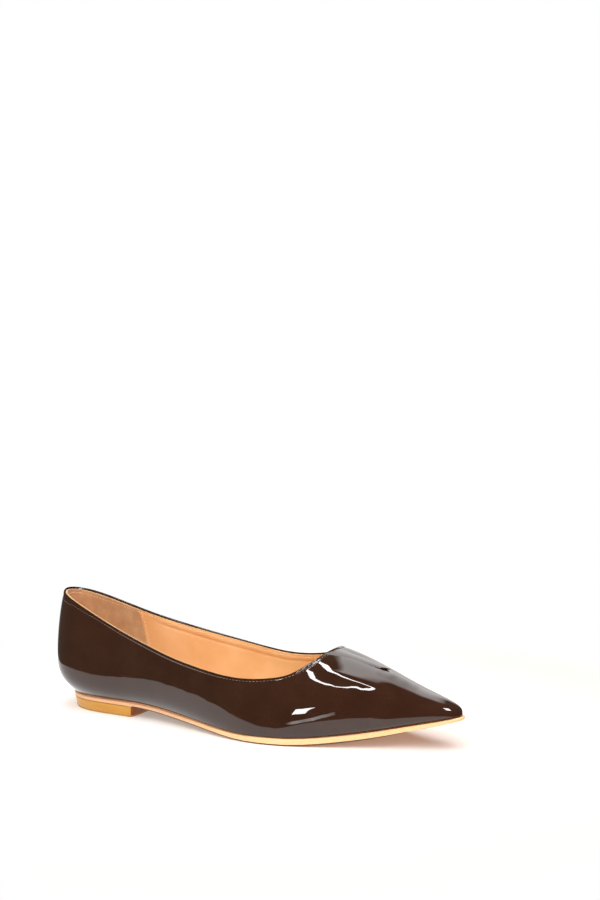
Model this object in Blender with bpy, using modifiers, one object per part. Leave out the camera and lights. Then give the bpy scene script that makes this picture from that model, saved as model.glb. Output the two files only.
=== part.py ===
"""Pointed toe flat shoe for the right foot: a low cut upper, an insole, a thin outsole and a low heel block.

The toe points along +X, the outer (lateral) side is -Y, and the shoe stands on the plane z = 0.
The upper is a shell raised from one closed feather line, round the sole, to one closed topline,
round the foot's opening. Both lines, and all that lies between them, are read from one last.
"""

import math

import bpy
import numpy as np

# Driving dimensions, in metres
SHOE_LENGTH = 0.260
HEEL_WIDTH = 0.0600
BALL_WIDTH = 0.0800
BACK_HEIGHT = 0.0701
THROAT_HEIGHT = 0.0505
TOE_SPRING = 0.0160
UPPER_WALL = 0.0016
SOLE_THICKNESS = 0.0038
SOLE_LEDGE = 0.0008
SOLE_EDGE = 0.0004
INSOLE_THICKNESS = 0.0020
INSOLE_GAP = 0.0008
HEEL_HEIGHT = 0.0066
HEEL_LENGTH = 0.0560
HEEL_INSET = 0.0004
HEEL_TAPER = 0.0010
SEAT_GAP = 0.0003

# How high the widest line of the sides runs above the feather line, and how far it overhangs it
SIDE_LIFT = 0.0150
SIDE_INSET = 0.0080

# Where the shoe changes form, as shares of its length from the back of the heel
TREAD_START = 0.58
TREAD_END = 0.66

# How fast the plan closes into a round at each end
HEEL_ROUND = 0.0245
TOE_ROUND = 0.0075
NOSE_ROUND = 0.0125
BREAST_ROUND = 0.0012

# Half widths of the last along its widest line.
# Each is a share of the local width, which grows from HEEL_WIDTH to BALL_WIDTH along the waist.
WAIST_START = 0.15
WAIST_LENGTH = 0.42
PLAN = (
    # station, lateral, medial
    (0.00, 0.475, 0.472),
    (0.08, 0.475, 0.478),
    (0.18, 0.472, 0.477),
    (0.30, 0.475, 0.454),
    (0.42, 0.495, 0.410),
    (0.52, 0.536, 0.397),
    (0.60, 0.550, 0.420),
    (0.68, 0.501, 0.446),
    (0.76, 0.402, 0.409),
    (0.84, 0.288, 0.318),
    (0.92, 0.174, 0.206),
    (1.00, 0.096, 0.112),
)

# The form of the cross sections, as shares of SIDE_LIFT, SIDE_INSET, BACK_HEIGHT and THROAT_HEIGHT.
# The crest is the last's own ridge: the sum of its shares of the back's and the throat's height.
SECTIONS = (
    # station, side lift, side inset, back height, throat height
    (0.00, 1.48, 1.00, 1.16, 0.00),
    (0.10, 0.96, 0.85, 1.16, 0.00),
    (0.25, 0.94, 0.76, 1.09, 0.05),
    (0.40, 0.87, 0.60, 0.80, 0.30),
    (0.55, 0.72, 0.16, 0.22, 0.80),
    (0.69, 0.46, 0.12, 0.00, 1.00),
    (0.80, 0.38, 0.27, 0.00, 0.83),
    (0.90, 0.27, 0.28, 0.00, 0.63),
    (1.00, 0.11, 0.12, 0.00, 0.49),
)

# The topline, from the back of the heel to the centre of the throat, on each side.
# Its rise is a share of the way from the widest line up to the crest.
TOPLINE = (
    # way round, station, lateral rise, medial rise
    (0.00, 0.000, 0.775, 0.775),
    (0.25, 0.144, 0.606, 0.602),
    (0.50, 0.364, 0.367, 0.455),
    (0.75, 0.600, 0.553, 0.643),
    (0.90, 0.670, 0.740, 0.812),
    (1.00, 0.708, 1.000, 1.000),
)

# The sole seen from the side: its underside, as shares of HEEL_HEIGHT and TOE_SPRING, and its
# thickness, as a share of SOLE_THICKNESS. The underside is flat where both its shares are 0 or less.
SOLE_LINE = (
    # station, heel height, toe spring, thickness
    (0.00, 0.98, 0.000, 0.57),
    (0.10, 1.00, 0.000, 0.57),
    (0.21, 0.99, 0.000, 0.58),
    (0.29, 0.88, 0.000, 0.61),
    (0.37, 0.62, 0.000, 0.66),
    (0.46, 0.34, 0.000, 0.68),
    (0.54, 0.06, 0.000, 0.82),
    (0.58, 0.00, 0.000, 0.92),
    (0.66, 0.00, 0.000, 1.00),
    (0.75, 0.00, 0.119, 1.02),
    (0.83, 0.00, 0.325, 0.95),
    (0.90, 0.00, 0.590, 0.76),
    (0.95, 0.00, 0.795, 0.60),
    (1.00, 0.00, 1.000, 0.52),
)

# Powers of the section above its widest line, across and up, and of its tuck below that line
SECTION_ACROSS = 2.0
SECTION_UP = 2.1
TUCK_POWER = 2.6
LARGEST_INSET = 0.5

# How far the back leans forward at the feather line and at the topline, and where that fades out
BACK_TUCK = 0.0090
BACK_LEAN = 0.0015
LEAN_END = 0.45

# Where the rays that find the upper's face start, inside the last
PIVOT_TO_FOOT = 0.12
PIVOT_FORWARD = 0.04
PIVOT_ACROSS = 0.25
PIVOT_UP = 0.45

# Mesh density
COLUMNS = 96
ROWS = 18
HEEL_COLUMNS = 64
RAYS = 60
HALVINGS = 40


def spline(rows, column):
    """A natural cubic through one column of a table, over the table's first column."""
    knots = np.array([row[0] for row in rows])
    values = np.array([row[column] for row in rows])
    gaps = np.diff(knots)
    matrix = np.eye(len(knots))
    right = np.zeros(len(knots))
    for i in range(1, len(knots) - 1):
        matrix[i, i - 1 : i + 2] = gaps[i - 1], 2 * (gaps[i - 1] + gaps[i]), gaps[i]
        slopes = np.diff(values[i - 1 : i + 2]) / gaps[i - 1 : i + 1]
        right[i] = 6 * (slopes[1] - slopes[0])
    bends = np.linalg.solve(matrix, right)

    def at(station):
        station = np.clip(station, knots[0], knots[-1])
        i = np.clip(np.searchsorted(knots, station) - 1, 0, len(gaps) - 1)
        before, after, gap = station - knots[i], knots[i + 1] - station, gaps[i]
        curved = (bends[i] * after**3 + bends[i + 1] * before**3) / (6 * gap)
        from_left = (values[i] / gap - bends[i] * gap / 6) * after
        from_right = (values[i + 1] / gap - bends[i + 1] * gap / 6) * before
        return curved + from_left + from_right

    return at


lateral_share, medial_share = spline(PLAN, 1), spline(PLAN, 2)
lift_share, inset_share = spline(SECTIONS, 1), spline(SECTIONS, 2)
back_share, throat_share = spline(SECTIONS, 3), spline(SECTIONS, 4)
heel_share, spring_share, sole_share = (spline(SOLE_LINE, i) for i in (1, 2, 3))
topline_station, lateral_rise, medial_rise = (spline(TOPLINE, i) for i in (1, 2, 3))


def ease(share):
    """From 0 to 1 with no kink in slope or curvature at either end."""
    share = np.clip(share, 0.0, 1.0)
    return share**3 * (10 - 15 * share + 6 * share**2)


def closing(distance, size):
    """0 at an end of a piece, rising like a round, and 1 well inside it."""
    return np.sqrt(1 - np.exp(-2 * np.maximum(distance, 0.0) / size))


def sole_bottom(station):
    """Height of the outsole's underside: the seat, the arch, the flat tread and the toe spring."""
    arch = np.where(station < TREAD_START, np.maximum(heel_share(station), 0.0), 0.0)
    spring = np.where(station > TREAD_END, np.maximum(spring_share(station), 0.0), 0.0)
    return HEEL_HEIGHT * arch + TOE_SPRING * spring


def sole_top(station):
    return sole_bottom(station) + SOLE_THICKNESS * sole_share(station)


def feather_height(station):
    """Height of the upper's bottom edge."""
    return sole_top(station) + SEAT_GAP


def side_inset(station, half):
    """How far the feather line lies inside the widest line."""
    return np.minimum(SIDE_INSET * inset_share(station), LARGEST_INSET * half)


def half_width(station, side):
    """Half width at the widest line; side is -1 for lateral and +1 for medial."""
    grown = ease((station - WAIST_START) / WAIST_LENGTH)
    local = HEEL_WIDTH + (BALL_WIDTH - HEEL_WIDTH) * grown
    share = np.where(side < 0, lateral_share(station), medial_share(station))
    x = station * SHOE_LENGTH
    ends = closing(x, HEEL_ROUND) * closing(SHOE_LENGTH - x, TOE_ROUND)
    return local * share * ends


def widest_height(station):
    return feather_height(station) + SIDE_LIFT * lift_share(station)


def crest_height(station):
    """Height of the last's crest, rounded down over the nose."""
    crest = BACK_HEIGHT * back_share(station) + THROAT_HEIGHT * throat_share(station)
    nose = closing((1 - station) * SHOE_LENGTH, NOSE_ROUND)
    low = widest_height(station)
    return low + (crest - low) * nose


def back_shift(z):
    """How far the back of the last stands forward of its rearmost point, at a height."""
    widest = widest_height(0.0)
    below = np.clip((widest - z) / (widest - feather_height(0.0)), 0.0, None)
    above = np.clip((z - widest) / (BACK_HEIGHT - widest), 0.0, None)
    return BACK_TUCK * below**TUCK_POWER + BACK_LEAN * above**2


def lean_fade(x):
    return 1 - ease(x / (LEAN_END * SHOE_LENGTH))


def settled_x(station, z):
    """The x of a station at a height, with the lean of the back put in."""
    x = station * SHOE_LENGTH
    for _ in range(12):
        x = station * SHOE_LENGTH + back_shift(z) * lean_fade(x)
    return x


def outside(points):
    """Above 0 outside the last, below 0 inside it."""
    x, y, z = points[..., 0], points[..., 1], points[..., 2]
    raw = (x - back_shift(z) * lean_fade(x)) / SHOE_LENGTH
    station = np.clip(raw, 0.0, 1.0)
    half = np.maximum(half_width(station, np.sign(y)), 1e-7)
    widest, crest = widest_height(station), crest_height(station)
    rise = np.clip((z - widest) / np.maximum(crest - widest, 1e-7), 0.0, None)
    drop = np.clip((widest - z) / (widest - feather_height(station)), 0.0, 1.5)
    tucked = half - side_inset(station, half) * drop**TUCK_POWER
    across = np.abs(y) / np.maximum(tucked, 1e-7)
    value = across**SECTION_ACROSS + rise**SECTION_UP - 1
    return np.where((raw <= 0) | (raw >= 1), 1.0, value)


def ring(count):
    """How far round the shoe each column is, from the heel's back to the toe, and on which side."""
    turn = 2 * np.arange(count) / count
    way = np.minimum(turn, 2 - turn)
    return way, np.where(turn <= 1, -1.0, 1.0)


def spread(way):
    """Stations for the ways round, closer together at both ends."""
    return (1 - np.cos(way * math.pi)) / 2


def feather_point(station, side):
    z = feather_height(station)
    half = half_width(station, side)
    return np.stack([settled_x(station, z), side * (half - side_inset(station, half)), z], -1)


def topline_point(way, side):
    station = topline_station(way)
    rise = np.minimum(np.where(side < 0, lateral_rise(way), medial_rise(way)), 1.0)
    low = widest_height(station)
    z = low + rise * (crest_height(station) - low)
    across = (1 - rise**SECTION_UP) ** (1 / SECTION_ACROSS)
    return np.stack([settled_x(station, z), side * half_width(station, side) * across, z], -1)


def cast(centres, directions):
    """Where rays from inside the last leave it."""
    near = np.zeros(directions.shape[:-1])
    far = np.full(directions.shape[:-1], SHOE_LENGTH)
    for _ in range(HALVINGS):
        middle = (near + far) / 2
        out = outside(centres + directions * middle[..., None]) > 0
        far = np.where(out, middle, far)
        near = np.where(out, near, middle)
    return centres + directions * near[..., None]


def upper_skin():
    """Points of the upper's outer face: one column for each way round, from feather line to topline."""
    way, side = ring(COLUMNS)
    station = spread(way)
    foot = feather_point(station, side)
    top = topline_point(way, side)
    centre = (1 - PIVOT_TO_FOOT) * top + PIVOT_TO_FOOT * foot
    centre[:, 0] += PIVOT_FORWARD * SHOE_LENGTH * (1 - way)
    centre[:, 1] = PIVOT_ACROSS * top[:, 1]
    centre[:, 2] = PIVOT_UP * (widest_height(station) + top[:, 2])
    start, end = foot - centre, top - centre
    start /= np.linalg.norm(start, axis=1, keepdims=True)
    end /= np.linalg.norm(end, axis=1, keepdims=True)
    angle = np.arccos(np.clip((start * end).sum(1), -1, 1))[:, None, None]

    def along(share):
        share = share[..., None]
        turned = np.sin((1 - share) * angle) * start[:, None] + np.sin(share * angle) * end[:, None]
        return cast(centre[:, None], turned / np.sin(angle))

    share = np.linspace(0, 1, RAYS)
    steps = np.linalg.norm(np.diff(along(np.tile(share, (COLUMNS, 1))), axis=1), axis=2)
    length = np.concatenate([np.zeros((COLUMNS, 1)), steps.cumsum(axis=1)], axis=1)
    wanted = np.linspace(0, 1, ROWS + 1)
    even = [np.interp(wanted * column[-1], column, share) for column in length]
    points = along(np.array(even))
    points[:, 0], points[:, -1] = foot, top
    return points


def stacked(outline, levels):
    """The outline moved outwards in plan and set at a height, once for each level, from the bottom up."""
    outward = np.roll(outline, 1, axis=0) - np.roll(outline, -1, axis=0)
    outward = np.stack([-outward[:, 1], outward[:, 0]], -1)
    outward /= np.linalg.norm(outward, axis=1, keepdims=True)
    rings = np.repeat(outline[None], len(levels), axis=0)
    for level, (out, height) in zip(rings, levels):
        level[:, :2] += outward * out
        level[:, 2] = height
    return rings


def outsole_rings():
    """The feather line with a ledge outside it, and a small round on both edges."""
    way, side = ring(COLUMNS)
    station = spread(way)
    low, high = sole_bottom(station), sole_top(station)
    levels = (
        (SOLE_LEDGE - SOLE_EDGE, low),
        (SOLE_LEDGE, low + SOLE_EDGE),
        (SOLE_LEDGE, high - SOLE_EDGE),
        (SOLE_LEDGE - SOLE_EDGE, high),
    )
    return stacked(feather_point(station, side), levels)


def insole_rings():
    """The feather line brought inside the upper's wall."""
    way, side = ring(COLUMNS)
    station = spread(way)
    low = feather_height(station)
    inside = -UPPER_WALL - INSOLE_GAP
    levels = ((inside, low), (inside, low + INSOLE_THICKNESS))
    return stacked(feather_point(station, side), levels)


def heel_rings():
    """The back of the feather line, closed across by the breast, and tapered down to the floor."""
    way, side = ring(HEEL_COLUMNS)
    station = HEEL_LENGTH / SHOE_LENGTH * spread(way)
    outline = feather_point(station, side)
    outline[:, 1] *= closing(HEEL_LENGTH - station * SHOE_LENGTH, BREAST_ROUND)
    out = SOLE_LEDGE - HEEL_INSET
    levels = ((out - HEEL_TAPER, 0 * station), (out, sole_bottom(station) - SEAT_GAP))
    return stacked(outline, levels)


def loft(rings):
    """Points and faces of a closed solid: walls between the rings, and a cap of strips across each end."""
    levels, count = rings.shape[:2]
    faces = []
    for level in range(levels - 1):
        for k in range(count):
            a, b = level * count + k, level * count + (k + 1) % count
            faces.append((a, b, b + count, a + count))
    last = (levels - 1) * count
    for k in range(count // 2):
        strip = [k, k + 1, (count - k - 1) % count, (count - k) % count]
        strip = list(dict.fromkeys(strip))
        faces.append(tuple(reversed(strip)))
        faces.append(tuple(last + corner for corner in strip))
    return rings.reshape(-1, 3), faces


def shell(skin):
    """Points and faces of an open skin given as columns."""
    columns, rows = skin.shape[:2]
    faces = []
    for k in range(columns):
        here, after = k * rows, (k + 1) % columns * rows
        for r in range(rows - 1):
            faces.append((here + r, after + r, after + r + 1, here + r + 1))
    return skin.reshape(-1, 3), faces


def finish(name, colour, roughness):
    material = bpy.data.materials.new(name)
    material.use_nodes = True
    shader = material.node_tree.nodes["Principled BSDF"]
    shader.inputs["Base Color"].default_value = (*colour, 1.0)
    shader.inputs["Roughness"].default_value = roughness
    shader.inputs["Metallic"].default_value = 0.0
    return material


def main():
    for obj in list(bpy.data.objects):
        bpy.data.objects.remove(obj)
    collection = bpy.data.collections.new("pointed_toe_flat")
    bpy.context.scene.collection.children.link(collection)
    pieces = {
        "upper": (shell(upper_skin()), finish("patent leather", (0.042, 0.016, 0.009), 0.08)),
        "insole": (loft(insole_rings()), finish("insole lining", (0.78, 0.41, 0.16), 0.6)),
        "outsole": (loft(outsole_rings()), finish("moulded rubber", (0.91, 0.62, 0.33), 0.5)),
        "heel": (loft(heel_rings()), finish("stacked rubber", (0.72, 0.39, 0.07), 0.5)),
    }
    points = np.concatenate([shape[0] for shape, _ in pieces.values()])
    middle = (points.min(axis=0) + points.max(axis=0)) / 2
    middle[2] = points[:, 2].min()
    for name, ((points, faces), material) in pieces.items():
        mesh = bpy.data.meshes.new(name)
        mesh.from_pydata([tuple(point) for point in points - middle], [], faces)
        mesh.materials.append(material)
        mesh.update()
        collection.objects.link(bpy.data.objects.new(name, mesh))
    wall = bpy.data.objects["upper"].modifiers.new("wall", "SOLIDIFY")
    wall.thickness = UPPER_WALL
    wall.offset = -1


main()
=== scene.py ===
import math

import bmesh
import bpy
from mathutils import Matrix, Vector, kdtree
from mathutils.bvhtree import BVHTree


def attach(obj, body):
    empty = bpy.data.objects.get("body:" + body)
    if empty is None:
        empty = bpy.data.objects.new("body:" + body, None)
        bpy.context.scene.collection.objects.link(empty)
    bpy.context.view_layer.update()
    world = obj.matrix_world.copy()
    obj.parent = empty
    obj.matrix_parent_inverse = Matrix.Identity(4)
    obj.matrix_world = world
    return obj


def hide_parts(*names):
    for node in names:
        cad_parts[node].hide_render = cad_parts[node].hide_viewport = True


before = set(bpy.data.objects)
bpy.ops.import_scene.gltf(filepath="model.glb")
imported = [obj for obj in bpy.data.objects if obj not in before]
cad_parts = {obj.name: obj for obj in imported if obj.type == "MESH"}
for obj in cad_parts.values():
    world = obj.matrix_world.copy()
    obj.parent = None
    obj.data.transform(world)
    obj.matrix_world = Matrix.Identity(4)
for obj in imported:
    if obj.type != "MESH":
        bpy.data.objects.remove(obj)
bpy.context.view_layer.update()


# ---- Patent upper -------------------------------------------------------------------------------
# Quarters and vamp in one, of calf lacquered to a hard gloss, pulled over the last. Its top edge is
# folded in and stitched down, which leaves a low rounded roll round the mouth of the shoe.
PATENT_THICK = 0.00105
ROLL_RISE = 0.00020
ROLL_WIDTH = 0.0016
STITCH_SINK = 0.00022
GROOVE_WIDTH = 0.00045
SEAM_DOWN, SEAM_LOWER = 0.0021, 0.0011
ROLL_ROWS = [0.0004, 0.0008, 0.0012]
SEAM_ROWS = [-0.0005, 0.0, 0.0005, 0.0012]
MOUTH_CUTS = len(ROLL_ROWS) + len(SEAM_ROWS)
MOUTH_LOWEST = 0.025
MOUTH_STEP = 0.0002
SKIN_SIDE = 0.0004
TOE_LEAN = 0.10
LEAN_START, LEAN_FULL = 0.083, 0.094
PATENT_DARK, PATENT_BROWN = "#2A160A", "#301C10"


def pick_only(piece):
    bpy.ops.object.select_all(action="DESELECT")
    piece.select_set(True)
    bpy.context.view_layer.objects.active = piece


def copy_of_node(node, name):
    """A new piece that starts as the node's own mesh, with its loose triangles merged."""
    piece = bpy.data.objects.new(name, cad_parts[node].data.copy())
    piece.data.materials.clear()
    bpy.context.scene.collection.objects.link(piece)
    pick_only(piece)
    bpy.ops.object.mode_set(mode="EDIT")
    bpy.ops.mesh.select_all(action="SELECT")
    bpy.ops.mesh.remove_doubles(threshold=1e-5)
    bpy.ops.mesh.customdata_custom_splitnormals_clear()
    bpy.ops.object.mode_set(mode="OBJECT")
    return piece


def twin(piece, name):
    """A second piece with its own copy of the mesh."""
    made = bpy.data.objects.new(name, piece.data.copy())
    bpy.context.scene.collection.objects.link(made)
    return made


def outer_skin(piece):
    """Cuts a hollow piece at its sharp rims and keeps the largest part, which is its outside."""
    pick_only(piece)
    bpy.ops.object.mode_set(mode="EDIT")
    bpy.ops.mesh.select_mode(type="EDGE")
    bpy.ops.mesh.select_all(action="DESELECT")
    bpy.ops.mesh.edges_select_sharp(sharpness=math.radians(55))
    bpy.ops.mesh.edge_split(type="EDGE")
    bpy.ops.mesh.separate(type="LOOSE")
    bpy.ops.object.mode_set(mode="OBJECT")
    parts = list(bpy.context.selected_objects)
    parts.sort(key=lambda part: sum(face.area for face in part.data.polygons))
    keep = parts.pop()
    for part in parts:
        bpy.data.objects.remove(part)
    return keep


def rows_below_mouth(shape):
    """Each point's row below the mouth, counted from 0 at the top edge."""
    row = [vert for vert in shape.verts if vert.is_boundary and vert.co.z > MOUTH_LOWEST]
    level = dict.fromkeys(row, 0)
    while row:
        depth = level[row[0]] + 1
        below = dict.fromkeys(edge.other_vert(vert) for vert in row for edge in vert.link_edges)
        row = [vert for vert in below if vert not in level]
        level.update(dict.fromkeys(row, depth))
    return level


def square_up(piece):
    """Joins a skin's triangles into quads: in each band every second cross edge is a diagonal."""
    shape = bmesh.new()
    shape.from_mesh(piece.data)
    level = rows_below_mouth(shape)
    spare = []
    for depth in range(max(level.values())):
        band = dict.fromkeys(edge for edge in shape.edges
                             if {level[edge.verts[0]], level[edge.verts[1]]} == {depth, depth + 1})
        walk = [next(iter(band))]
        face = walk[0].link_faces[0]
        while True:
            step = [edge for edge in face.edges if edge in band and edge is not walk[-1]][0]
            if step is walk[0]:
                break
            walk.append(step)
            face = [other for other in step.link_faces if other is not face][0]
        spare += max(walk[::2], walk[1::2], key=lambda edges: sum(e.calc_length() for e in edges))
    bmesh.ops.dissolve_edges(shape, edges=spare)
    shape.to_mesh(piece.data)
    shape.free()


def columns_of(piece):
    """The skin's columns in turn round the mouth, each a list of points from the top edge down."""
    shape = bmesh.new()
    shape.from_mesh(piece.data)
    level = rows_below_mouth(shape)
    loop = [next(vert for vert in level if level[vert] == 0)]
    while True:
        beside = [edge.other_vert(loop[-1]) for edge in loop[-1].link_edges]
        beside = [vert for vert in beside if level[vert] == 0 and vert not in loop]
        if not beside:
            break
        loop.append(beside[0])
    columns = []
    for vert in loop:
        column = [vert]
        while True:
            under = [edge.other_vert(column[-1]) for edge in column[-1].link_edges]
            under = [other for other in under if level[other] > level[column[-1]]]
            if not under:
                break
            column.append(under[0])
        columns.append([point.co.copy() for point in column])
    shape.free()
    return columns


def seam_depth(x):
    """How far the stitches lie below the top edge: lower at the back, where the fold is wider."""
    return SEAM_DOWN + SEAM_LOWER * step_up(-x, 0.085, 0.118)


def down_to(column, depth):
    """The point of a column that lies a given distance below the mouth."""
    track = [high.lerp(low, share / 20)
             for high, low in zip(column, column[1:]) for share in range(20)]
    gaps = [mouth.find(spot)[2] for spot in track]
    at = next(spot for spot, gap in enumerate(gaps) if gap >= depth)
    return track[at - 1].lerp(track[at], (depth - gaps[at - 1]) / (gaps[at] - gaps[at - 1]))


def spaced(line, pitch, closed=True):
    """Points along a line, one pitch apart, each with the line's direction there."""
    ends = line[1:] + line[:1] if closed else line[1:]
    steps = [(start, end, (end - start).length) for start, end in zip(line, ends)]
    total = sum(step[2] for step in steps)
    count = max(round(total / pitch), 1)
    found, travelled, wanted = [], 0.0, 0.0
    for start, end, length in steps:
        while wanted <= travelled + length and len(found) < count:
            spot = start.lerp(end, (wanted - travelled) / length)
            found.append((spot, (end - start).normalized()))
            wanted += total / count
        travelled += length
    return found


def apply_modifier(piece, kind, **settings):
    pick_only(piece)
    modifier = piece.modifiers.new(kind.title(), kind)
    for key, value in settings.items():
        setattr(modifier, key, value)
    bpy.ops.object.modifier_apply(modifier=modifier.name)


def smooth(piece, angle=180):
    pick_only(piece)
    bpy.ops.object.shade_smooth_by_angle(angle=math.radians(angle))


def step_up(value, start, end):
    """From 0 at the start to 1 at the end, level at both."""
    share = min(max((value - start) / (end - start), 0.0), 1.0)
    return share * share * (3 - 2 * share)


def hump(value, middle, width):
    return math.exp(-((value - middle) / width) ** 2)


def surface(piece):
    return BVHTree.FromPolygons([vert.co for vert in piece.data.vertices],
                                [face.vertices for face in piece.data.polygons])


def linear(code):
    """A #rrggbb sRGB colour as the linear colour that a shader reads."""
    parts = [int(code[at:at + 2], 16) / 255 for at in (1, 3, 5)]
    parts = [c / 12.92 if c <= 0.04045 else ((c + 0.055) / 1.055) ** 2.4 for c in parts]
    return (*parts, 1.0)


def add(tree, kind, sockets=None, **settings):
    """Adds a shader node with its settings, values and links."""
    made = tree.nodes.new(kind)
    for key, value in settings.items():
        setattr(made, key, value)
    for key, value in (sockets or {}).items():
        if isinstance(value, bpy.types.NodeSocket):
            tree.links.new(value, made.inputs[key])
        else:
            made.inputs[key].default_value = value
    return made


def finish(name, **values):
    """A new material, its tree, its shader with the uniform values, and object coordinates."""
    made = bpy.data.materials.new(name)
    made.use_nodes = True
    shader = made.node_tree.nodes["Principled BSDF"]
    for key, value in values.items():
        shader.inputs[key.replace("_", " ")].default_value = value
    place = add(made.node_tree, "ShaderNodeTexCoord").outputs["Object"]
    return made, made.node_tree, shader, place


def blend_colours(tree, factor, *stops):
    """A colour ramp through (position, #rrggbb) stops."""
    ramp = add(tree, "ShaderNodeValToRGB", {"Fac": factor})
    for spot, (position, code) in enumerate(stops):
        if spot > 1:
            ramp.color_ramp.elements.new(position)
        ramp.color_ramp.elements[spot].position = position
        ramp.color_ramp.elements[spot].color = linear(code)
    return ramp.outputs["Color"]


skin = outer_skin(copy_of_node("upper", "skin"))
square_up(skin)
fair = twin(skin, "fair")
apply_modifier(fair, "SUBSURF", levels=2, render_levels=2)
outside = surface(fair)
columns = columns_of(fair)
bpy.data.objects.remove(fair)
mouth_line = spaced([column[0] for column in columns], MOUTH_STEP)
mouth = kdtree.KDTree(len(mouth_line))
for spot, (point, _) in enumerate(mouth_line):
    mouth.insert(point, spot)
mouth.balance()
seam_line = [down_to(column[:13], seam_depth(column[0].x)) for column in columns]

# More rows of faces are cut in below the mouth and laid along it, so that the roll and the stitch
# groove run true. The two old rows under them are spread down to a third, which stays in place.
upper = twin(skin, "patent_upper")
shape = bmesh.new()
shape.from_mesh(upper.data)
level = rows_below_mouth(shape)
fold = [edge for edge in shape.edges if {level[edge.verts[0]], level[edge.verts[1]]} == {0, 1}]
bmesh.ops.subdivide_edges(shape, edges=fold, cuts=MOUTH_CUTS, use_grid_fill=True)
level = rows_below_mouth(shape)
for top in [vert for vert in level if level[vert] == 0]:
    column = [top]
    while len(column) < MOUTH_CUTS + 4:
        under = [edge.other_vert(column[-1]) for edge in column[-1].link_edges]
        column.append(next(other for other in under if level[other] > level[column[-1]]))
    path = [vert.co.copy() for vert in column]
    path = [path[0]] + path[MOUTH_CUTS + 1:]
    seam = seam_depth(top.co.x)
    last = mouth.find(path[-1])[2]
    depths = ROLL_ROWS + [seam + beside for beside in SEAM_ROWS]
    depths += [depths[-1] + (last - depths[-1]) * share for share in (0.33, 0.66)]
    for vert, depth in zip(column[1:], depths):
        vert.co = down_to(path, depth)
shape.to_mesh(upper.data)
shape.free()
apply_modifier(upper, "SOLIDIFY", thickness=PATENT_THICK, offset=-1.0, use_even_offset=True)
apply_modifier(upper, "SUBSURF", levels=2, render_levels=2)
for vert in upper.data.vertices:
    near, out, _, _ = outside.find_nearest(vert.co)
    if (vert.co - near).dot(out) > -SKIN_SIDE:
        depth = mouth.find(vert.co)[2]
        roll = ROLL_RISE * hump(depth, ROLL_WIDTH / 2, ROLL_WIDTH / 2)
        vert.co += out * (roll - STITCH_SINK * hump(depth, seam_depth(vert.co.x), GROOVE_WIDTH))
smooth(upper)

# Patent calf: brown dye under a thick clear lacquer, so the brown is deep and the gloss is a
# mirror that only bends softly, where the leather under it isn't quite flat.
patent, tree, shader, place = finish("patent_calf", Roughness=0.5, Specular_IOR_Level=0.0,
                                     Coat_Weight=1.0, Coat_Roughness=0.02, Coat_IOR=1.5)
mottle = add(tree, "ShaderNodeTexNoise", {"Vector": place, "Scale": 70.0, "Detail": 3.0})
tint = blend_colours(tree, mottle.outputs["Fac"], (0.3, PATENT_DARK), (0.7, PATENT_BROWN))
tree.links.new(tint, shader.inputs["Base Color"])
wave = add(tree, "ShaderNodeTexNoise", {"Vector": place, "Scale": 75.0, "Detail": 1.0})
lay = add(tree, "ShaderNodeBump", {"Height": wave.outputs["Fac"], "Strength": 0.14,
                                   "Distance": 0.001})
tree.links.new(lay.outputs["Normal"], shader.inputs["Normal"])
# On the outer side of the toe the gloss leans to the tip, with no change of shape, which keeps a
# second image of the tube lamp off it.
along = add(tree, "ShaderNodeSeparateXYZ", {"Vector": place})
lean = add(tree, "ShaderNodeMapRange", {"Value": along.outputs["X"], "From Min": LEAN_START,
                                        "From Max": LEAN_FULL, "To Max": TOE_LEAN},
           interpolation_type="SMOOTHSTEP")
normal = add(tree, "ShaderNodeNewGeometry").outputs["Normal"]
facing = add(tree, "ShaderNodeSeparateXYZ", {"Vector": normal})
outer = add(tree, "ShaderNodeMapRange", {"Value": facing.outputs["Y"], "From Min": -0.25,
                                         "From Max": -0.50}, interpolation_type="SMOOTHSTEP")
shift = add(tree, "ShaderNodeMath", {0: outer.outputs["Result"], 1: lean.outputs["Result"]},
            operation="MULTIPLY")
forward = add(tree, "ShaderNodeCombineXYZ", {"X": shift.outputs["Value"]})
leant = add(tree, "ShaderNodeVectorMath", {0: lay.outputs["Normal"], 1: forward.outputs["Vector"]})
leant = add(tree, "ShaderNodeVectorMath", {0: leant.outputs["Vector"]}, operation="NORMALIZE")
tree.links.new(leant.outputs["Vector"], shader.inputs["Coat Normal"])
upper.data.materials.append(patent)
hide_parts("upper")
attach(upper, "root")


# ---- Lining -------------------------------------------------------------------------------------
# Smooth tan leather glued inside the quarters and vamp. It stops just under the patent's fold, so
# its pale cut edge shows as a fine line all round, and it hangs in a soft fold below the stitching.
LINING_IN = 0.00112
LINING_THICK = 0.00045
LINING_DROP = 0.0011
LINING_PROUD = 0.0003
FOLD_DOWN = 0.0056
FOLD_SINK = 0.00045
FOLD_WIDTH = 0.0010
SWELL_ABOVE, SWELL_WIDTH, SWELL_SHARE = 0.0022, 0.0016, 0.8
FOLD_STARTS, FOLD_ENDS = (-0.085, -0.070), (0.025, 0.045)
INNER_SIDE, PROUD_ENDS = (-0.010, 0.012), (0.02, 0.04)
TAN, TAN_LIGHT, CUT_EDGE = "#DDAB72", "#E8BC88", "#F0D6B4"


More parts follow.
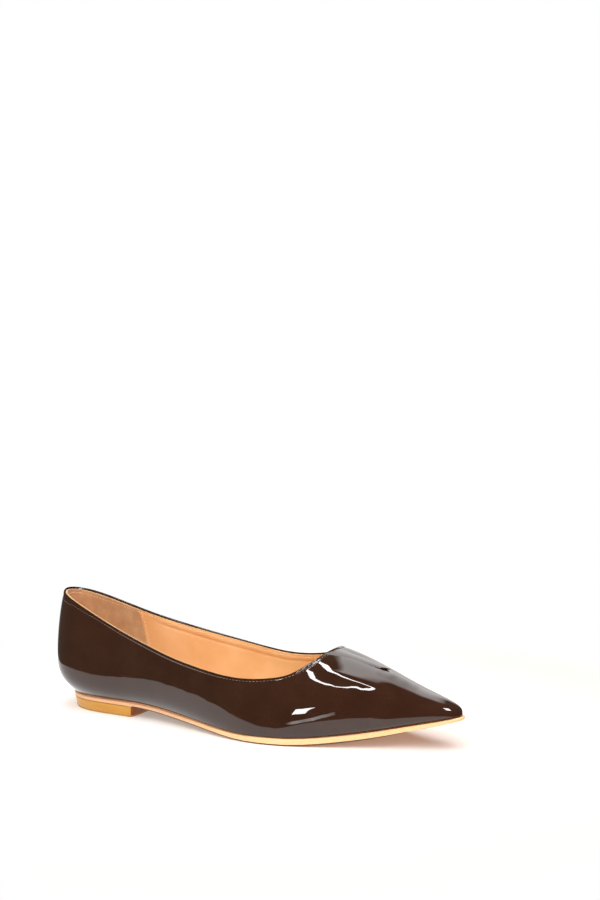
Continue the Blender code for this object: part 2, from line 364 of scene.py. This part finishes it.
def lining_from(piece):
    """Moves a skin inwards and its top row down, but on the outer side of the foot a little up."""
    shape = bmesh.new()
    shape.from_mesh(piece.data)
    shape.normal_update()
    level = rows_below_mouth(shape)
    moves = {}
    for vert in shape.verts:
        moves[vert] = -LINING_IN * vert.normal
        if level[vert] == 0:
            beside = [edge.other_vert(vert) for edge in vert.link_edges]
            under = next(other for other in beside if level[other] == 1)
            inner_side = step_up(vert.co.y, *INNER_SIDE)
            drop = LINING_DROP * inner_side
            proud = LINING_PROUD * (1 - inner_side) * (1 - step_up(vert.co.x, *PROUD_ENDS))
            moves[vert] += (under.co - vert.co).normalized() * (drop - proud)
    for vert, move in moves.items():
        vert.co += move
    shape.to_mesh(piece.data)
    shape.free()


lining = twin(skin, "lining")
lining_from(lining)
apply_modifier(lining, "SUBSURF", levels=2, render_levels=2)
outward = [vert.normal.copy() for vert in lining.data.vertices]
for vert, out in zip(lining.data.vertices, outward):
    depth = mouth.find(vert.co)[2]
    length = step_up(vert.co.x, *FOLD_STARTS) * (1 - step_up(vert.co.x, *FOLD_ENDS))
    vert.co += out * length * FOLD_SINK * (
        hump(depth, FOLD_DOWN, FOLD_WIDTH)
        - SWELL_SHARE * hump(depth, FOLD_DOWN - SWELL_ABOVE, SWELL_WIDTH))
inner = twin(lining, "inner")
apply_modifier(lining, "SOLIDIFY", thickness=LINING_THICK, offset=-1.0, material_offset_rim=1)
smooth(lining, 50)

# Glove leather: fine pores about 0.5 mm apart, drawn at 0.7 mm so that they show, and a low sheen.
glove, tree, shader, place = finish("glove_leather_tan", Roughness=0.46, Specular_IOR_Level=0.4)
mottle = add(tree, "ShaderNodeTexNoise", {"Vector": place, "Scale": 55.0, "Detail": 4.0})
tint = blend_colours(tree, mottle.outputs["Fac"], (0.3, TAN), (0.7, TAN_LIGHT))
tree.links.new(tint, shader.inputs["Base Color"])
pores = add(tree, "ShaderNodeTexVoronoi", {"Vector": place, "Scale": 1400.0})
lay = add(tree, "ShaderNodeBump", {"Height": pores.outputs["Distance"], "Strength": 0.25,
                                   "Distance": 0.0002})
tree.links.new(lay.outputs["Normal"], shader.inputs["Normal"])

# The raw edge left by the knife: paler, matt and slightly fibrous.
raw, tree, shader, place = finish("leather_cut_edge", Roughness=0.8)
fibre = add(tree, "ShaderNodeTexNoise", {"Vector": place, "Scale": 900.0, "Detail": 3.0})
tint = blend_colours(tree, fibre.outputs["Fac"], (0.3, TAN_LIGHT), (0.65, CUT_EDGE))
tree.links.new(tint, shader.inputs["Base Color"])
lining.data.materials.append(glove)
lining.data.materials.append(raw)
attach(lining, "root")


# ---- Counter lining -----------------------------------------------------------------------------
# A suede pocket over the stiff heel counter, flesh side out so that the foot doesn't slip. Its
# front edge lies on the tan lining and is held down by a zigzag.
COUNTER_FRONT = (-0.0895, 0.0, 0.042)
COUNTER_LEAN = 0.15
COUNTER_IN = 0.0006
COUNTER_THICK = 0.0004
SUEDE, SUEDE_LIGHT = "#B38E66", "#C4A27B"

counter = twin(inner, "counter_lining")
pick_only(counter)
bpy.ops.object.mode_set(mode="EDIT")
bpy.ops.mesh.select_all(action="SELECT")
bpy.ops.mesh.bisect(plane_co=COUNTER_FRONT, plane_no=(1.0, 0.0, COUNTER_LEAN), clear_outer=True)
bpy.ops.object.mode_set(mode="OBJECT")
apply_modifier(counter, "DISPLACE", strength=-COUNTER_IN, mid_level=0.0)
apply_modifier(counter, "SOLIDIFY", thickness=COUNTER_THICK, offset=-1.0)
smooth(counter, 50)

# Suede: a short nap with soft cloudy marks where it was brushed.
suede, tree, shader, place = finish("counter_suede", Roughness=0.95, Specular_IOR_Level=0.2,
                                    Sheen_Weight=0.25, Sheen_Roughness=0.5)
brushed = add(tree, "ShaderNodeTexNoise", {"Vector": place, "Scale": 160.0, "Detail": 6.0,
                                           "Roughness": 0.65})
tint = blend_colours(tree, brushed.outputs["Fac"], (0.32, SUEDE), (0.68, SUEDE_LIGHT))
tree.links.new(tint, shader.inputs["Base Color"])
nap = add(tree, "ShaderNodeTexNoise", {"Vector": place, "Scale": 2500.0, "Detail": 2.0})
lay = add(tree, "ShaderNodeBump", {"Height": nap.outputs["Fac"], "Strength": 0.4,
                                   "Distance": 0.0002})
tree.links.new(lay.outputs["Normal"], shader.inputs["Normal"])
counter.data.materials.append(suede)
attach(counter, "root")


# ---- Stitches -----------------------------------------------------------------------------------
# Lockstitch round the mouth through the fold: dark bonded thread outside, cream thread on the
# lining, and the zigzag that holds the counter lining. One stitch is modelled and laid many times.
THREAD = 0.00014
THREAD_BED = 0.00012
STITCH_PITCH = 0.0021
STITCH_LENGTH = 0.0014
ZIGZAG_START, ZIGZAG_PITCH, ZIGZAG_STEPS = 0.058, 0.0011, 38
ZIGZAG_AHEAD, ZIGZAG_HALF = 0.0016, 0.0008
ZIGZAG_TOP = 0.0028
SEAM_OVER, SEAM_WITHIN = 0.001, 0.0025
# The outer thread's grey is partly painted highlight.
THREAD_DARK, THREAD_GREY_GLINT = "#5E483A", "#85705F"
THREAD_CREAM, THREAD_PALE = "#E8B988", "#FBE3C2"

bpy.ops.object.select_all(action="DESELECT")
bpy.ops.mesh.primitive_uv_sphere_add(segments=8, ring_count=6, radius=THREAD,
                                     rotation=(0, math.pi / 2, 0))
stitch = bpy.context.active_object
bpy.ops.object.transform_apply(location=False, rotation=True, scale=False)
stretch = STITCH_LENGTH / 2 - THREAD
for vert in stitch.data.vertices:
    vert.co.x += math.copysign(stretch, vert.co.x) if abs(vert.co.x) > 1e-6 else 0.0


def sew(name, places, laid_on):
    """One piece of stitches: each (point, direction) is laid on a surface, a little sunk in it."""
    shape = bmesh.new()
    for point, along, length in places:
        near, out, _, _ = laid_on.find_nearest(point)
        across = out.cross(along).normalized()
        along = across.cross(out).normalized()
        turn = Matrix((along, across, out)).transposed().to_4x4()
        before = len(shape.verts)
        shape.from_mesh(stitch.data)
        shape.verts.ensure_lookup_table()
        move = Matrix.Translation(near + out * (THREAD - THREAD_BED)) @ turn
        move = move @ Matrix.Diagonal((length, 1, 1, 1))
        for vert in shape.verts[before:]:
            vert.co = move @ vert.co
    made = bpy.data.objects.new(name, bpy.data.meshes.new(name))
    bpy.context.scene.collection.objects.link(made)
    shape.to_mesh(made.data)
    shape.free()
    smooth(made)
    return made


over = surface(upper)
row = []
for point, along in spaced(seam_line, STITCH_PITCH):
    near, out, _, _ = outside.find_nearest(point)
    row.append((near + out * SEAM_OVER, along, 1.0))
outer_row = sew("topline_stitches", row, over)

# Bonded polyester thread, lightly waxed: dark outside, where it was matched to the patent. Its grey
# share is partly painted highlight, for the glints the patent catches between the stitches.
thread, tree, shader, place = finish("bonded_thread_brown", Roughness=0.35)
ply = add(tree, "ShaderNodeTexNoise", {"Vector": place, "Scale": 1500.0, "Detail": 1.0})
tint = blend_colours(tree, ply.outputs["Fac"], (0.35, THREAD_DARK), (0.65, THREAD_GREY_GLINT))
tree.links.new(tint, shader.inputs["Base Color"])
outer_row.data.materials.append(thread)
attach(outer_row, "root")

within = surface(lining)
suede_face = surface(counter)
row = []
for point, along in spaced(seam_line, STITCH_PITCH):
    near, out, _, _ = outside.find_nearest(point)
    row.append((near - out * SEAM_WITHIN, along, 1.0))
front = Vector(COUNTER_FRONT)
inside_row = sew("lining_stitches", [spot for spot in row if spot[0].x > front.x], within)
counter_row = sew("counter_stitches", [spot for spot in row if spot[0].x <= front.x], suede_face)

zigzag = []
for side in (-1, 1):
    points = []
    for step in range(ZIGZAG_STEPS):
        z = ZIGZAG_START - ZIGZAG_PITCH * step
        x = front.x - COUNTER_LEAN * (z - front.z) + ZIGZAG_AHEAD
        x += ZIGZAG_HALF if step % 2 else -ZIGZAG_HALF
        found = within.ray_cast(Vector((x, 0.002, z)), Vector((0, side, 0)))
        if found[0] is not None and mouth.find(found[0])[2] > ZIGZAG_TOP:
            points.append(found[0] - Vector((0, side * 0.0003, 0)))
    for start, end in zip(points, points[1:]):
        across = end - start
        zigzag.append(((start + end) / 2, across.normalized(), across.length / STITCH_LENGTH))
zigzag = sew("counter_zigzag", zigzag, within)

# The same thread in cream, matt, so that it reads as a pale dotted line on the tan lining.
cream, tree, shader, place = finish("bonded_thread_cream", Roughness=0.6)
ply = add(tree, "ShaderNodeTexNoise", {"Vector": place, "Scale": 1500.0, "Detail": 1.0})
tint = blend_colours(tree, ply.outputs["Fac"], (0.35, THREAD_CREAM), (0.65, THREAD_PALE))
tree.links.new(tint, shader.inputs["Base Color"])
for seam in (inside_row, counter_row, zigzag):
    seam.data.materials.append(cream)
    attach(seam, "root")
bpy.data.objects.remove(stitch)
bpy.data.objects.remove(inner)


# ---- Sock ---------------------------------------------------------------------------------------
# The insole board's cover: the same tan leather over thin foam, its edge against the lining. The
# rim is rounded, as leather is where it turns over a board.
SOCK_ROUND = 0.0008


def to_quads(piece):
    pick_only(piece)
    bpy.ops.object.mode_set(mode="EDIT")
    bpy.ops.mesh.select_all(action="SELECT")
    bpy.ops.mesh.tris_convert_to_quads(face_threshold=math.radians(80),
                                       shape_threshold=math.radians(80))
    bpy.ops.object.mode_set(mode="OBJECT")


def round_edges(piece, width, segments, angle):
    apply_modifier(piece, "BEVEL", width=width, segments=segments, limit_method="ANGLE",
                   angle_limit=math.radians(angle))


sock = copy_of_node("insole", "sock")
to_quads(sock)
round_edges(sock, SOCK_ROUND, 3, 40)
smooth(sock, 50)
sock.data.materials.append(glove)
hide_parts("insole")
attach(sock, "root")


# ---- Sole ---------------------------------------------------------------------------------------
# A moulded rubber sole, peach at the back and cream at the toe. From the heel breast forward its
# lowest layer is a thin dark tread, bonded on, that shows as a line along the edge.
TREAD_SHARE = 0.16
TREAD_START = -0.0690
TREAD_END = 0.104
TREAD_FADE = 0.070
CREAM, PEACH = "#E4C08B", "#DAA97E"
TREAD_DARK, TREAD_BROWN = "#40210E", "#6A3A1A"

band = copy_of_node("outsole", "sole_band")
to_quads(band)
shape = bmesh.new()
shape.from_mesh(band.data)
sides = [edge for edge in shape.edges
         if all(abs(face.normal.z) < 0.5 for face in edge.link_faces)
         and abs(edge.verts[0].co.z - edge.verts[1].co.z) > 0.001]
cut = bmesh.ops.subdivide_edges(shape, edges=sides, cuts=1, use_grid_fill=True)["geom_inner"]
cut = [item for item in cut if isinstance(item, bmesh.types.BMVert)]
for vert in cut:
    ends = [edge.other_vert(vert).co for edge in vert.link_edges]
    ends = sorted(ends, key=lambda spot: (spot - vert.co).xy.length)[:2]
    low, high = sorted((spot.copy() for spot in ends), key=lambda spot: spot.z)
    share = TREAD_SHARE * (1 - 0.95 * step_up(vert.co.x, TREAD_FADE, TREAD_END + 0.004))
    vert.co = low.lerp(high, share)
for face in shape.faces:
    reach = face.calc_center_median().x
    under = face.normal.z < -0.9
    if reach < TREAD_END and face.normal.z < 0.3:
        highest = max(face.verts, key=lambda vert: vert.co.z)
        under = under or face.normal.z < -0.3 or highest in cut
    face.material_index = 1 if reach > TREAD_START and under else 0
shape.to_mesh(band.data)
shape.free()
round_edges(band, 0.0002, 2, 35)
smooth(band, 35)

# Thermoplastic rubber, satin from the mould.
rubber, tree, shader, place = finish("moulded_rubber_cream", Roughness=0.5)
along = add(tree, "ShaderNodeSeparateXYZ", {"Vector": place})
reach = add(tree, "ShaderNodeMapRange", {"Value": along.outputs["X"], "From Min": -0.12,
                                         "From Max": 0.12})
cloud = add(tree, "ShaderNodeTexNoise", {"Vector": place, "Scale": 90.0, "Detail": 3.0})
drift = add(tree, "ShaderNodeMath", {0: cloud.outputs["Fac"], 1: 0.16, 2: reach.outputs["Result"]},
            operation="MULTIPLY_ADD")
tint = blend_colours(tree, drift.outputs["Value"], (0.40, PEACH), (0.74, CREAM))
tree.links.new(tint, shader.inputs["Base Color"])
grain = add(tree, "ShaderNodeTexNoise", {"Vector": place, "Scale": 1100.0, "Detail": 2.0})
lay = add(tree, "ShaderNodeBump", {"Height": grain.outputs["Fac"], "Strength": 0.15,
                                   "Distance": 0.0002})
tree.links.new(lay.outputs["Normal"], shader.inputs["Normal"])
band.data.materials.append(rubber)
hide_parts("outsole")
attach(band, "root")

# Hard tread rubber, dark brown, with a fine pebble of about 1.2 mm for grip.
grip, tree, shader, place = finish("tread_rubber_brown", Roughness=0.6)
pebble = add(tree, "ShaderNodeTexVoronoi", {"Vector": place, "Scale": 800.0})
tint = blend_colours(tree, pebble.outputs["Distance"], (0.1, TREAD_BROWN), (0.6, TREAD_DARK))
tree.links.new(tint, shader.inputs["Base Color"])
lay = add(tree, "ShaderNodeBump", {"Height": pebble.outputs["Distance"], "Strength": 0.8,
                                   "Distance": 0.0003}, invert=True)
tree.links.new(lay.outputs["Normal"], shader.inputs["Normal"])
band.data.materials.append(grip)


# ---- Heel block ---------------------------------------------------------------------------------
# Low stacked block in mustard rubber, glued under the seat, with a fine stippled top piece that
# meets the floor. Its front face, the breast, was cut and is darker, partly its own cut tone and
# partly painted shade.
TOP_PIECE = 0.0009
BREAST_SKEW = 0.0019
BREAST_FROM, SKEW_SIDE = -0.075, (-0.018, 0.022)
MUSTARD, MUSTARD_DEEP = "#BF8B30", "#B37C25"
# The breast's colours are partly the cut rubber's own darker tone and partly painted shade.
BREAST_SHADED, BREAST_SHADED_DEEP = "#8A4A10", "#6C3606"
OCHRE, OCHRE_DEEP = "#B98A48", "#9A7038"

block = copy_of_node("heel", "heel_block")
top_piece = twin(block, "heel_top_piece")
for piece in (block, top_piece):
    for vert in piece.data.vertices:
        if vert.co.x > BREAST_FROM:
            vert.co.x += BREAST_SKEW * (1 - step_up(vert.co.y, *SKEW_SIDE))
floor_faces = [face for face in block.data.polygons if face.normal.z < -0.5]
for spot in {vert for face in floor_faces for vert in face.vertices}:
    block.data.vertices[spot].co.z += TOP_PIECE
# The breast's faces take the darker colour, which is partly painted shade.
breast_faces = [face.index for face in block.data.polygons if face.normal.x > 0.8]
for spot in breast_faces:
    block.data.polygons[spot].material_index = 1
round_edges(block, 0.0005, 3, 50)
smooth(block, 35)

shape = bmesh.new()
shape.from_mesh(top_piece.data)
upper_faces = [face for face in shape.faces if face.normal.z > -0.5]
bmesh.ops.delete(shape, geom=upper_faces, context="FACES")
shape.to_mesh(top_piece.data)
shape.free()
apply_modifier(top_piece, "SOLIDIFY", thickness=TOP_PIECE + 0.0001, offset=-1.0)
smooth(top_piece, 40)

# Rubber with a trace of flat layers, satin. The breast shows the saw's cut, matt, and its darker
# colour is partly the cut and partly painted shade.
stack, tree, shader, place = finish("stacked_rubber_mustard", Roughness=0.5)
lift = add(tree, "ShaderNodeMapping", {"Vector": place, "Scale": (1.0, 1.0, 12.0)})
layers = add(tree, "ShaderNodeTexNoise", {"Vector": lift.outputs["Vector"], "Scale": 60.0,
                                          "Detail": 3.0})
tint = blend_colours(tree, layers.outputs["Fac"], (0.3, MUSTARD_DEEP), (0.65, MUSTARD))
tree.links.new(tint, shader.inputs["Base Color"])
sawn_and_shaded, tree, shader, place = finish("cut_rubber_breast_shaded", Roughness=0.7)
saw = add(tree, "ShaderNodeTexNoise", {"Vector": place, "Scale": 300.0, "Detail": 3.0})
tint = blend_colours(tree, saw.outputs["Fac"], (0.3, BREAST_SHADED_DEEP), (0.7, BREAST_SHADED))
tree.links.new(tint, shader.inputs["Base Color"])
block.data.materials.append(stack)
block.data.materials.append(sawn_and_shaded)
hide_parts("heel")
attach(block, "root")

# The top piece: harder rubber of nearly the block's own colour, stippled so that it doesn't slip.
stipple, tree, shader, place = finish("stippled_rubber_ochre", Roughness=0.65)
grain = add(tree, "ShaderNodeTexVoronoi", {"Vector": place, "Scale": 900.0})
tint = blend_colours(tree, grain.outputs["Distance"], (0.1, OCHRE), (0.6, OCHRE_DEEP))
tree.links.new(tint, shader.inputs["Base Color"])
lay = add(tree, "ShaderNodeBump", {"Height": grain.outputs["Distance"], "Strength": 0.6,
                                   "Distance": 0.0003})
tree.links.new(lay.outputs["Normal"], shader.inputs["Normal"])
top_piece.data.materials.append(stipple)
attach(top_piece, "root")
bpy.data.objects.remove(skin)


# ---- Studio -------------------------------------------------------------------------------------
# White paper under soft boxes, and the photo's camera. What the patent mirrors is built from
# glowing cards that only the gloss sees: the sheet, the strip and horizon behind, a ring of tube
# lamp, a window, a ledge and the lamp at the toe.
STRIP_HEIGHT = 1.2
TUBE_HEIGHT = 3.0
TUBE_LAP = 0.015
GLOW_NEAR, GLOW_FAR, GLOW_LEAST = 0.16, 0.30, 0.30
# Colours of the paper's painted glow, which lightens and tints the shadows near the shoe.
PAINTED_GLOW_PALE, PAINTED_GLOW_WARM = "#FFF1E0", "#FFCBA4"
BOUNCE = "#FF7A48"
FOCAL_PIXELS, PHOTO_HEIGHT, SENSOR = 1733.23, 900, 24.0
CAMERA_AT = (0.46385, -0.87406, 0.23488)
CAMERA_TURN, CAMERA_DOWN, CAMERA_ROLL = 26.344, 4.357, 0.391


def card(name, rows, strength):
    """A glowing sheet that only the gloss mirrors, made of rows of (x, y, z, glow) corners."""
    made = bpy.data.objects.new(name, bpy.data.meshes.new(name))
    corners = [corner for row in rows for corner in row]
    wide = len(rows[0])
    faces = [(at, at + 1, at + 1 + wide, at + wide)
             for at in range(len(corners) - wide) if (at + 1) % wide]
    made.data.from_pydata([corner[:3] for corner in corners], [], faces)
    glow = made.data.attributes.new("glow", "FLOAT", "POINT")
    for spot, corner in enumerate(corners):
        glow.data[spot].value = corner[3]
    bpy.context.scene.collection.objects.link(made)
    lit = bpy.data.materials.new(name)
    lit.use_nodes = True
    lit.node_tree.nodes.clear()
    share = add(lit.node_tree, "ShaderNodeAttribute", attribute_name="glow")
    level = add(lit.node_tree, "ShaderNodeMath", {0: share.outputs["Fac"], 1: strength},
                operation="MULTIPLY")
    lamp = add(lit.node_tree, "ShaderNodeEmission", {"Strength": level.outputs["Value"]})
    add(lit.node_tree, "ShaderNodeOutputMaterial", {"Surface": lamp.outputs["Emission"]})
    made.data.materials.append(lit)
    made.visible_camera = False
    made.visible_diffuse = False
    made.visible_shadow = False


bpy.ops.object.select_all(action="DESELECT")
bpy.ops.mesh.primitive_plane_add(size=8.0, location=(0, 0, 0))
floor = bpy.context.active_object
floor.name = "floor"
floor.visible_glossy = False
# White paper, matt. Near the shoe it also glows faintly, which is painted light: it lifts the
# shadows there, and it is warmer toward the toe, a painted warm tint in the shadow under it. From
# 30 cm off it is pure white.
paper, tree, shader, place = finish("white_paper_painted_glow", Roughness=0.9, Specular_IOR_Level=0.0)
shader.inputs["Base Color"].default_value = (0.97, 0.97, 0.97, 1.0)
far = add(tree, "ShaderNodeVectorMath", {0: place}, operation="LENGTH")
fade = add(tree, "ShaderNodeMapRange", {"Value": far.outputs["Value"], "From Min": GLOW_NEAR,
                                        "From Max": GLOW_FAR, "To Min": GLOW_LEAST})
along = add(tree, "ShaderNodeSeparateXYZ", {"Vector": place})
toward = add(tree, "ShaderNodeMapRange", {"Value": along.outputs["X"], "From Min": -0.06,
                                          "From Max": 0.06})
# The glow's colour, pale at the back and warm at the toe: a painted tint of the shadows.
bounce = blend_colours(tree, toward.outputs["Result"], (0.0, PAINTED_GLOW_PALE), (1.0, PAINTED_GLOW_WARM))
open_floor = add(tree, "ShaderNodeMapRange", {"Value": far.outputs["Value"],
                                              "From Min": GLOW_NEAR, "From Max": GLOW_FAR})
clear = add(tree, "ShaderNodeMixRGB", {"Fac": open_floor.outputs["Result"], "Color1": bounce,
                                       "Color2": (1.0, 1.0, 1.0, 1.0)})
white = add(tree, "ShaderNodeEmission", {"Color": clear.outputs["Color"], "Strength": 1.0})
both = add(tree, "ShaderNodeMixShader", {0: fade.outputs["Result"], 1: shader.outputs["BSDF"],
                                         2: white.outputs["Emission"]})
tree.links.new(both.outputs["Shader"], tree.nodes["Material Output"].inputs["Surface"])
floor.data.materials.append(paper)

# The paper as the gloss sees it: its soft rim lies close before the shoe, and past the rim the
# patent mirrors the dark room.
rim = [(-0.30, 0.40), (-0.255, 0.05), (-0.235, -0.041), (-0.212, -0.090), (-0.168, -0.128),
       (-0.129, -0.122), (-0.059, -0.100), (-0.018, -0.084), (0.010, -0.073), (0.034, -0.070),
       (0.048, -0.086), (0.082, -0.126), (0.126, -0.200), (0.185, -0.300), (0.215, -0.290),
       (0.175, -0.150), (0.145, -0.040), (0.16, 0.05), (0.30, 0.60)]
inside_rim = [(0.95 * x, 0.95 * y + 0.001) for x, y in rim]
card("sheet_in_gloss", [[(0.0, 0.02, 0.0, 1.0)] * len(rim),
                        [(*spot, 0.0, 1.0) for spot in inside_rim],
                        [(*spot, 0.0, 0.0) for spot in rim]], 1.65)

# A strip of light that runs from over the toe to the far side, as (left, y, right, faded, glow),
# and the pale wall at the horizon.
long_light = [(0.105, -0.02, 0.200, 0.31, 1.4), (0.105, 0.10, 0.235, 0.34, 1.6),
              (0.00, 0.46, 0.21, 0.32, 1.3), (-0.10, 0.74, 0.15, 0.27, 1.1),
              (-0.20, 1.00, 0.06, 0.19, 1.0), (-0.45, 1.65, -0.10, 0.02, 0.95),
              (-0.68, 2.40, -0.30, -0.15, 0.85), (-1.25, 4.20, -0.75, -0.45, 0.75)]
card("strip_in_gloss", [[(left + 0.01, y, STRIP_HEIGHT, 0.0), (left + 0.07, y, STRIP_HEIGHT, glow),
                         (right, y, STRIP_HEIGHT, glow), (faded, y, STRIP_HEIGHT, 0.0)]
                        for left, y, right, faded, glow in long_light], 3.0)
card("horizon_in_gloss", [[(-4.5, 3.0, 1.2, 0.3), (-1.6, 3.0, 1.2, 0.6), (-0.9, 3.0, 1.2, 1.2),
                           (-0.45, 3.0, 1.2, 1.9), (-0.1, 3.0, 1.2, 0.0)],
                          [(-4.5, 3.0, -0.8, 0.6), (-1.6, 3.0, -0.8, 0.8), (-0.9, 3.0, -0.8, 1.3),
                           (-0.45, 3.0, -0.8, 0.9), (-0.1, 3.0, -0.8, 0.0)]], 1.0)

# A ring of tube lamp high over the shoe, as (x, y, half its width in mm). Each piece runs a little
# past its ends.
tube = [(-1.00, 1.30, 55), (-0.60, 0.10, 55), (-0.19, -0.45, 55), (0.06, -0.70, 50),
        (0.30, -1.29, 50), (0.52, -1.60, 50), (0.73, -1.82, 50), (0.87, -1.90, 50),
        (0.96, -1.78, 40), (0.965, -1.29, 34), (0.92, -0.82, 34), (0.88, -0.66, 34),
        (0.75, -0.60, 34), (0.60, -0.54, 36), (0.42, -0.37, 40), (0.25, -0.22, 48),
        (-0.02, 0.34, 50), (-0.28, 0.64, 50)]
for spot, (start, end) in enumerate(zip(tube, tube[1:])):
    a, b = Vector((*start[:2], TUBE_HEIGHT)), Vector((*end[:2], TUBE_HEIGHT))
    along = (b - a).normalized()
    across = along.cross(Vector((0, 0, 1)))
    rows = [[(*(point + across * side * half / 1000), 1.0) for side in (-1, 1)]
            for point, half in ((a - along * TUBE_LAP, start[2]), (b + along * TUBE_LAP, end[2]))]
    card(f"tube_lamp_{spot}", rows, 26.0)

# A window off the outer side, the ledge of light along the upper's foot there, and the toe's lamp.
card("window_in_gloss", [[(0.155, -1.03, 0.05, 1.0), (0.20, -1.03, 0.19, 1.0)],
                         [(0.275, -1.03, 0.12, 1.0), (0.33, -1.03, 0.29, 1.0)]], 25.0)
card("ledge_in_gloss", [[(0.060, -0.527, -0.092, 0.2), (0.060, -0.527, -0.080, 0.2)],
                        [(0.094, -0.526, -0.086, 0.9), (0.094, -0.526, -0.052, 0.9)],
                        [(0.125, -0.522, -0.072, 1.0), (0.125, -0.522, -0.034, 1.0)],
                        [(0.151, -0.519, -0.062, 0.7), (0.151, -0.519, -0.024, 0.7)],
                        [(0.197, -0.512, -0.034, 1.0), (0.197, -0.512, 0.012, 1.0)],
                        [(0.240, -0.497, 0.042, 0.4), (0.240, -0.497, 0.088, 0.4)]], 5.0)
card("toe_lamp", [[(0.66, -0.19, 1.2, 1.0), (0.72, 0.17, 1.2, 1.0)],
                  [(1.00, -0.44, 1.2, 1.0), (1.30, -0.10, 1.2, 1.0)]], 25.0)

# The camera sees a white background. Everything else gets only a dim share of it.
world = bpy.context.scene.world or bpy.data.worlds.new("studio")
bpy.context.scene.world = world
world.use_nodes = True
tree = world.node_tree
dim = tree.nodes["Background"]
dim.inputs["Color"].default_value = (1.0, 1.0, 1.0, 1.0)
dim.inputs["Strength"].default_value = 0.12
bright = add(tree, "ShaderNodeBackground", {"Color": (1, 1, 1, 1), "Strength": 1.0})
ray = add(tree, "ShaderNodeLightPath")
both = add(tree, "ShaderNodeMixShader", {0: ray.outputs["Is Camera Ray"],
                                         1: dim.outputs["Background"],
                                         2: bright.outputs["Background"]})
tree.links.new(both.outputs["Shader"], tree.nodes["World Output"].inputs["Surface"])


def softbox(name, place, size, power):
    lamp = bpy.data.lights.new(name, "AREA")
    lamp.size, lamp.energy = size, power
    made = bpy.data.objects.new(name, lamp)
    bpy.context.scene.collection.objects.link(made)
    place = Vector(place)
    turn = place.to_track_quat("Z", "Y").to_matrix().to_4x4()
    made.matrix_world = Matrix.Translation(place) @ turn
    made.visible_glossy = False
    made.visible_camera = False
    return made


softbox("top_softbox", (0.1, 0.0, 1.4), 2.2, 38.0)
softbox("front_softbox", (0.4, -1.4, 0.8), 1.4, 21.0)
softbox("left_softbox", (-1.3, -0.6, 0.8), 1.2, 10.0)
warm = softbox("warm_bounce", (0.62, -0.30, 0.10), 0.3, 1.7)
warm.data.color = linear(BOUNCE)[:3]

scene = bpy.context.scene
scene.view_settings.view_transform = "Standard"
lens = bpy.data.cameras.new("camera")
lens.sensor_fit, lens.sensor_height, lens.sensor_width = "VERTICAL", SENSOR, SENSOR
lens.lens = SENSOR * FOCAL_PIXELS / PHOTO_HEIGHT
camera = bpy.data.objects.new("camera", lens)
scene.collection.objects.link(camera)
camera.matrix_world = (
    Matrix.Translation(CAMERA_AT)
    @ Matrix.Rotation(math.radians(CAMERA_TURN), 4, "Z")
    @ Matrix.Rotation(math.radians(90 - CAMERA_DOWN), 4, "X")
    @ Matrix.Rotation(math.radians(CAMERA_ROLL), 4, "Z")
)
scene.camera = camera
